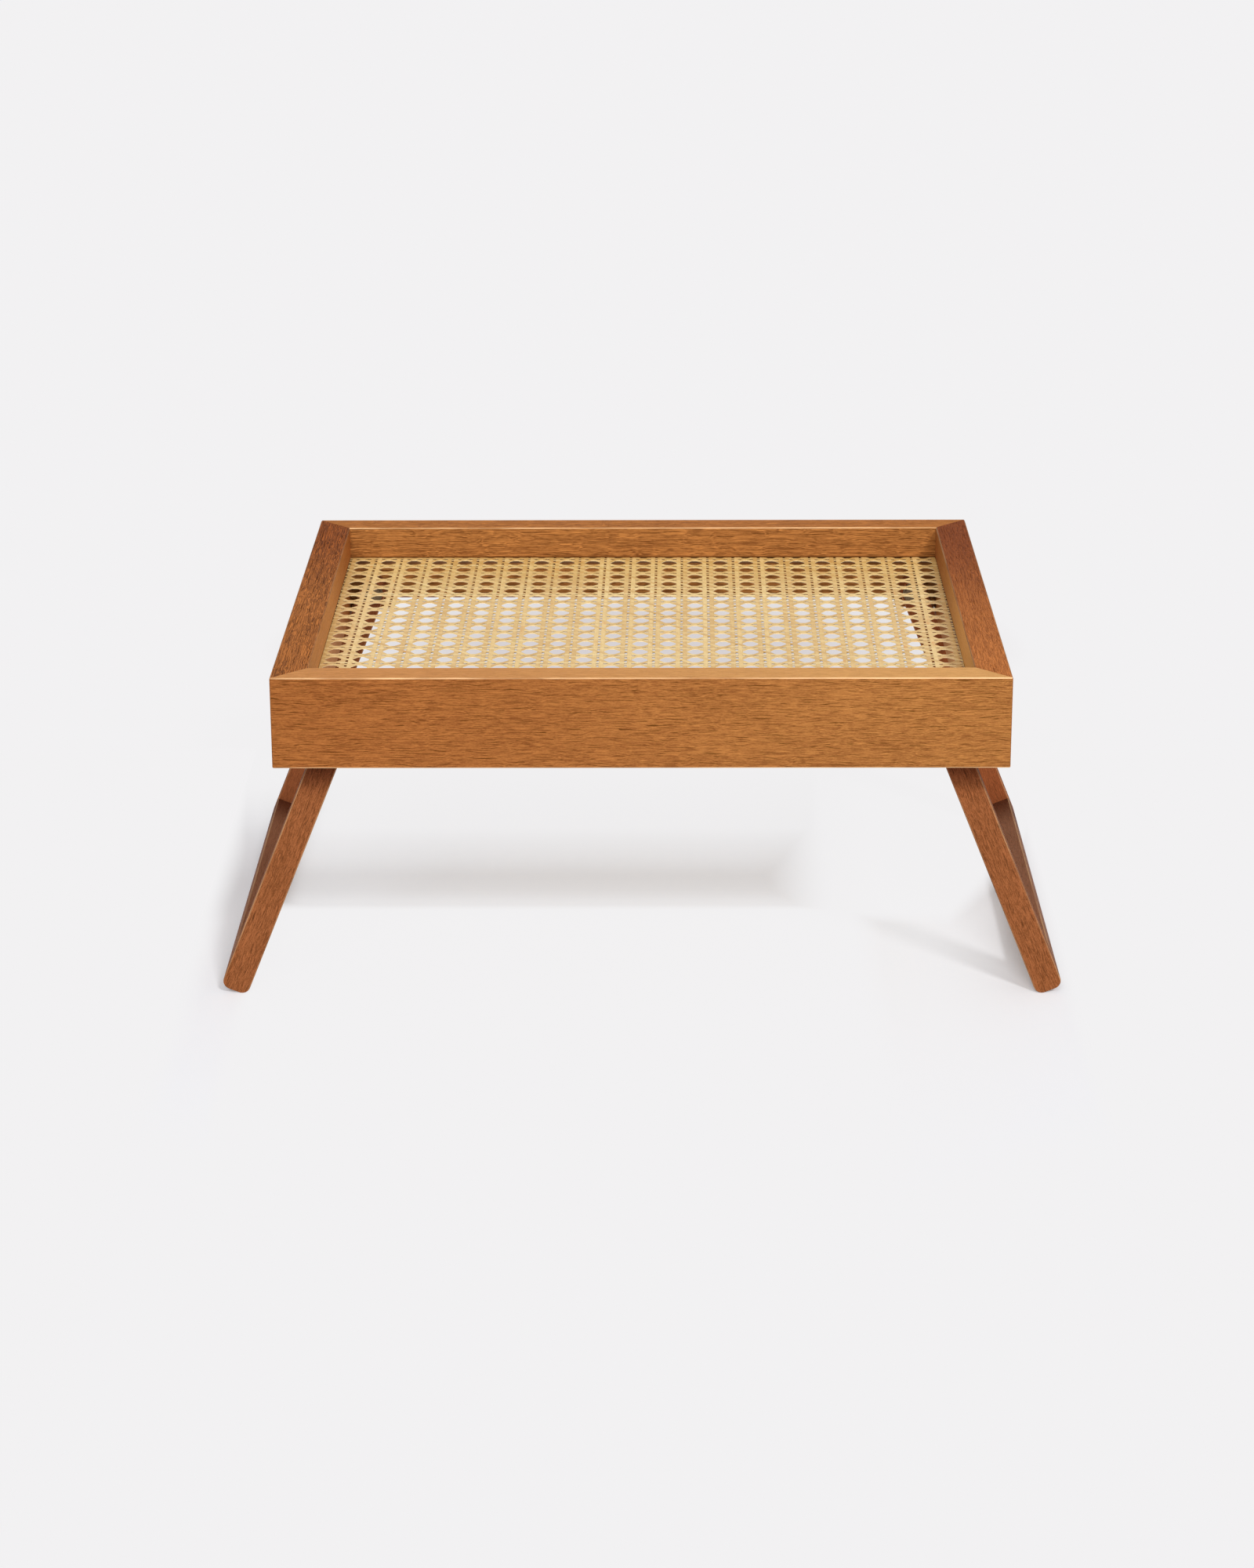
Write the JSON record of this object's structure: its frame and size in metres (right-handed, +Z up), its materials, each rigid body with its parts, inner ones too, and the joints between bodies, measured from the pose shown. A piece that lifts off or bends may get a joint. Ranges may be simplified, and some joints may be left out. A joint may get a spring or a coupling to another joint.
{
  "type": "folding breakfast tray",
  "caption": "Wooden breakfast tray with mitred rails, a woven cane floor and splayed leg frames that fold flat under it.",
  "frame": {"origin": "centre of the overall footprint, on the surface that the feet stand on", "axes": "+X to the right along the long side, -Y towards the front, +Z up"},
  "size_m": [0.5846, 0.415, 0.2382],
  "materials": {
    "tray_wood": "satin stained oak",
    "leg_wood": "satin stained oak",
    "cane": "natural peeled cane",
    "reed": "round reed, unfinished",
    "joint_wood": "unfinished beech and birch ply",
    "insert_brass": "plain brass",
    "bolt_steel": "zinc plated"
  },
  "bodies": {
    "tray": {"front_rail": "tray_wood", "rear_rail": "tray_wood", "left_rail": "tray_wood", "right_rail": "tray_wood", "front_left_corner_tongue": "joint_wood", "front_right_corner_tongue": "joint_wood", "rear_left_corner_tongue": "joint_wood", "rear_right_corner_tongue": "joint_wood", "cane_webbing": "cane", "front_cane_spline": "reed", "rear_cane_spline": "reed", "left_cane_spline": "reed", "right_cane_spline": "reed", "front_left_pivot_insert": "insert_brass", "front_right_pivot_insert": "insert_brass", "rear_left_pivot_insert": "insert_brass", "rear_right_pivot_insert": "insert_brass", "front_left_pivot_bolt": "bolt_steel", "front_right_pivot_bolt": "bolt_steel", "rear_left_pivot_bolt": "bolt_steel", "rear_right_pivot_bolt": "bolt_steel", "front_left_spacer_washer": "bolt_steel", "front_right_spacer_washer": "bolt_steel", "rear_left_spacer_washer": "bolt_steel", "rear_right_spacer_washer": "bolt_steel", "front_left_head_washer": "bolt_steel", "front_right_head_washer": "bolt_steel", "rear_left_head_washer": "bolt_steel", "rear_right_head_washer": "bolt_steel"},
    "left_leg_frame": {"left_front_leg": "leg_wood", "left_rear_leg": "leg_wood", "left_foot_rail": "leg_wood", "left_front_foot_dowels": "joint_wood", "left_rear_foot_dowels": "joint_wood"},
    "right_leg_frame": {"right_front_leg": "leg_wood", "right_rear_leg": "leg_wood", "right_foot_rail": "leg_wood", "right_front_foot_dowels": "joint_wood", "right_rear_foot_dowels": "joint_wood"}
  },
  "joints": [
    {"name": "left_leg_fold", "type": "hinge", "parent": "tray", "child": "left_leg_frame", "pos_m": [-0.20821, 0, 0.19219], "axis": [0, -1, 0], "range_deg": [0, 112]},
    {"name": "right_leg_fold", "type": "hinge", "parent": "tray", "child": "right_leg_frame", "pos_m": [0.20821, 0, 0.19219], "axis": [0, 1, 0], "range_deg": [0, 112]}
  ]
}
